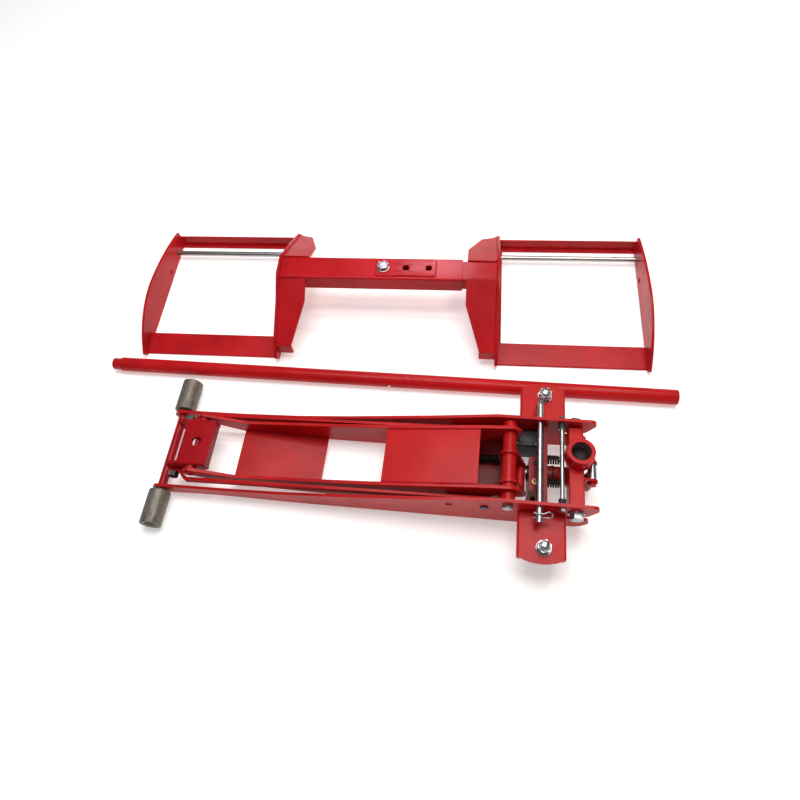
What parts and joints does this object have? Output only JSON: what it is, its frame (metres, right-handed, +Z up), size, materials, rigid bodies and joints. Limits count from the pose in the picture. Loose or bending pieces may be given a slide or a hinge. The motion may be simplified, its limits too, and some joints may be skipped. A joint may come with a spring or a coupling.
{
  "type": "transmission jack",
  "caption": "Low-profile hydraulic floor jack with long parallel lift arm, self-levelling saddle, loose two-piece handle and width-adjustable wheel cradle.",
  "frame": {"origin": "centre of the footprint, on the floor", "axes": "+X along the jack from the saddle end to the handle end, +Y towards the cradle, +Z up"},
  "size_m": [1.262, 0.8056, 0.1338],
  "materials": {
    "red_paint": "gloss",
    "black_paint": "satin",
    "zinc_plate": "satin",
    "bright_steel": "polished",
    "worn_steel": "matte",
    "black_oxide": "satin",
    "black_rubber": "matte",
    "caster_polymer": "matte"
  },
  "bodies": {
    "chassis": {"side_plate_near": "red_paint", "side_plate_far": "red_paint", "axle_tube": "red_paint", "axle_shaft": "worn_steel", "caster_bracket_near": "red_paint", "caster_bracket_far": "red_paint", "caster_bolts": "zinc_plate", "pivot_bolt": "zinc_plate", "rod_pins": "black_oxide", "chassis_cross_plates": "red_paint", "power_unit": "red_paint", "reservoir": "black_paint", "return_springs": "black_oxide", "arm_return_springs": "black_oxide", "tie_rod": "zinc_plate", "yoke_bolts": "zinc_plate"},
    "lift_arm": {"arm_plate_near": "red_paint", "arm_plate_far": "red_paint", "arm_cross_rear": "red_paint", "arm_cross_front": "red_paint", "arm_pivot_tube": "red_paint", "arm_lever": "red_paint", "saddle_pivot_pin": "red_paint"},
    "saddle_head": {"saddle": "red_paint", "saddle_front_pin": "black_oxide"},
    "radius_rods": {"radius_rod_near": "red_paint", "radius_rod_far": "red_paint"},
    "ram_rod": {"ram": "bright_steel"},
    "roller_near": {"front_roller_near": "worn_steel"},
    "roller_far": {"front_roller_far": "worn_steel"},
    "caster_near": {"caster_fork_near": "zinc_plate"},
    "caster_far": {"caster_fork_far": "zinc_plate"},
    "wheel_near": {"caster_wheel_near": "caster_polymer"},
    "wheel_far": {"caster_wheel_far": "caster_polymer"},
    "yoke": {"yoke_bar": "red_paint", "socket_tube": "red_paint", "yoke_lugs": "red_paint"},
    "cam_roller": {"pump_roller": "zinc_plate"},
    "plunger": {"pump_plunger": "bright_steel"},
    "lock": {"lock_pin": "zinc_plate"},
    "clip": {"r_clip": "zinc_plate"},
    "handle": {"handle_long": "red_paint", "handle_short": "red_paint"},
    "button": {"snap_button": "zinc_plate"},
    "cradle_left": {"outer_plate_left": "red_paint", "inner_plate_left": "red_paint", "ramp_bar_left": "red_paint", "rear_bar_left": "red_paint", "gussets_left": "red_paint", "outer_tube": "red_paint", "doubler_plate": "red_paint", "width_bolt": "zinc_plate"},
    "cradle_right": {"outer_plate_right": "red_paint", "inner_plate_right": "red_paint", "ramp_bar_right": "red_paint", "rear_bar_right": "red_paint", "gussets_right": "red_paint", "inner_tube": "red_paint"},
    "rod_left": {"wheel_rod_left": "bright_steel"},
    "rod_right": {"wheel_rod_right": "bright_steel"}
  },
  "joints": [
    {"name": "lift", "type": "hinge", "parent": "chassis", "child": "lift_arm", "pos_m": [0.284, -0.2198, 0.098], "axis": [0, 1, 0], "range_deg": [0, 50]},
    {"name": "saddle_level", "type": "hinge", "parent": "lift_arm", "child": "saddle_head", "pos_m": [-0.35, -0.2198, 0.066], "axis": [0, 1, 0], "range_deg": [-51, 0.5]},
    {"name": "rod_swing", "type": "hinge", "parent": "chassis", "child": "radius_rods", "pos_m": [0.242, -0.2198, 0.079], "axis": [0, 1, 0], "range_deg": [-0.5, 51]},
    {"name": "ram_push", "type": "slide", "parent": "chassis", "child": "ram_rod", "axis": [-1, 0, 0], "range_m": [-0.0005, 0.052]},
    {"name": "roller_near_spin", "type": "hinge", "parent": "chassis", "child": "roller_near", "pos_m": [-0.422, -0.3488, 0.022], "axis": [0, 1, 0], "continuous": true},
    {"name": "roller_far_spin", "type": "hinge", "parent": "chassis", "child": "roller_far", "pos_m": [-0.422, -0.0908, 0.022], "axis": [0, 1, 0], "continuous": true},
    {"name": "caster_near_swivel", "type": "hinge", "parent": "chassis", "child": "caster_near", "pos_m": [0.351, -0.3748, 0.06], "axis": [0, 0, 1], "continuous": true},
    {"name": "caster_far_swivel", "type": "hinge", "parent": "chassis", "child": "caster_far", "pos_m": [0.351, -0.0648, 0.06], "axis": [0, 0, 1], "continuous": true},
    {"name": "wheel_near_spin", "type": "hinge", "parent": "caster_near", "child": "wheel_near", "pos_m": [0.351, -0.3618, 0.021], "axis": [1, 0, 0], "continuous": true},
    {"name": "wheel_far_spin", "type": "hinge", "parent": "caster_far", "child": "wheel_far", "pos_m": [0.351, -0.0778, 0.021], "axis": [1, 0, 0], "continuous": true},
    {"name": "pump_stroke", "type": "hinge", "parent": "chassis", "child": "yoke", "pos_m": [0.408, -0.2198, 0.088], "axis": [0, 1, 0], "range_deg": [0, 35], "stiffness_Nm_per_rad": 8, "springref_deg": -5.73},
    {"name": "plunger_stroke", "type": "slide", "parent": "chassis", "child": "plunger", "axis": [0, 0, -1], "range_m": [-0.0002, 0.019]},
    {"name": "cam_spin", "type": "hinge", "parent": "yoke", "child": "cam_roller", "pos_m": [0.4385, -0.22505, 0.085], "axis": [0, 1, 0], "continuous": true},
    {"name": "lock_pin_slide", "type": "slide", "parent": "chassis", "child": "lock", "axis": [0, 1, 0], "range_m": [-0.02, 0.008]},
    {"name": "clip_pull", "type": "slide", "parent": "lock", "child": "clip", "axis": [1, 0, 0], "range_m": [0, 0.025]},
    {"name": "handle_lift", "type": "slide", "parent": "chassis", "child": "handle", "axis": [0, 0, 1], "range_m": [0, 0.3]},
    {"name": "button_press", "type": "slide", "parent": "handle", "child": "button", "axis": [0, 1, 0], "range_m": [0, 0.005], "stiffness_N_per_m": 200, "springref_m": -0.002},
    {"name": "cradle_lift", "type": "slide", "parent": "chassis", "child": "cradle_left", "axis": [0, 0, 1], "range_m": [0, 0.3]},
    {"name": "cradle_width", "type": "slide", "parent": "cradle_left", "child": "cradle_right", "axis": [0.9997, 0.0256, 0], "range_m": [0, 0.1]},
    {"name": "rod_left_spin", "type": "hinge", "parent": "cradle_left", "child": "rod_left", "pos_m": [-0.41715, 0.32988, 0.018], "axis": [0.9997, 0.0256, 0], "continuous": true},
    {"name": "rod_right_spin", "type": "hinge", "parent": "cradle_right", "child": "rod_right", "pos_m": [0.41257, 0.35113, 0.018], "axis": [0.9997, 0.0256, 0], "continuous": true}
  ],
  "couplings": [
    {"joint": "saddle_level", "follows": "lift", "ratio": -1},
    {"joint": "rod_swing", "follows": "lift", "ratio": 1},
    {"joint": "ram_push", "follows": "lift", "m_per_rad": 0.0573},
    {"joint": "plunger_stroke", "follows": "pump_stroke", "m_per_rad": 0.03}
  ]
}
